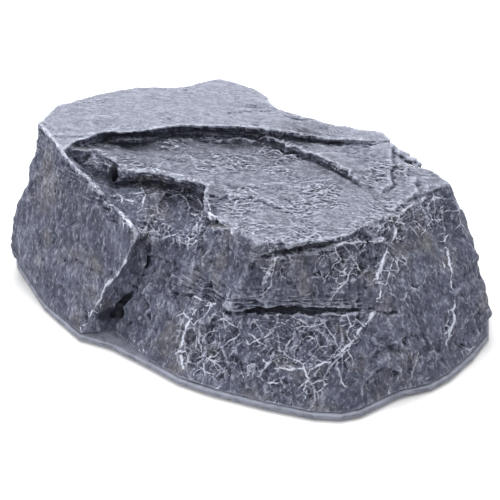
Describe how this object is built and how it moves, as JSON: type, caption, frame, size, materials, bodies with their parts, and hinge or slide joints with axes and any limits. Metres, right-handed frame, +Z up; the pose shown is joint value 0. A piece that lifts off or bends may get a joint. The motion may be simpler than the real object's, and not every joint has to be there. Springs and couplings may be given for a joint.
{
  "type": "rock-shaped aquarium cave ornament",
  "caption": "Hollow cast-resin slate rock, open underneath with a cave mouth at the back, bonded to a thin base plate on soft foot pads.",
  "frame": {"origin": "middle of the footprint, on the surface that the foot pads stand on", "axes": "+Z up; X along the rock's length, with the big plain slab at -X; -Y is the show side and the cave mouth opens to +Y"},
  "size_m": [0.269, 0.172, 0.09],
  "materials": {
    "rock_resin": "matte, dark slate grey with pale dry-brushed edges",
    "base_resin": "matte, pale grey",
    "pad_rubber": "matte black"
  },
  "bodies": {
    "root": {"rock_shell": "rock_resin", "base_plate": "base_resin", "foot_pad_1": "pad_rubber", "foot_pad_2": "pad_rubber", "foot_pad_3": "pad_rubber", "foot_pad_4": "pad_rubber", "foot_pad_5": "pad_rubber", "foot_pad_6": "pad_rubber"}
  },
  "joints": []
}
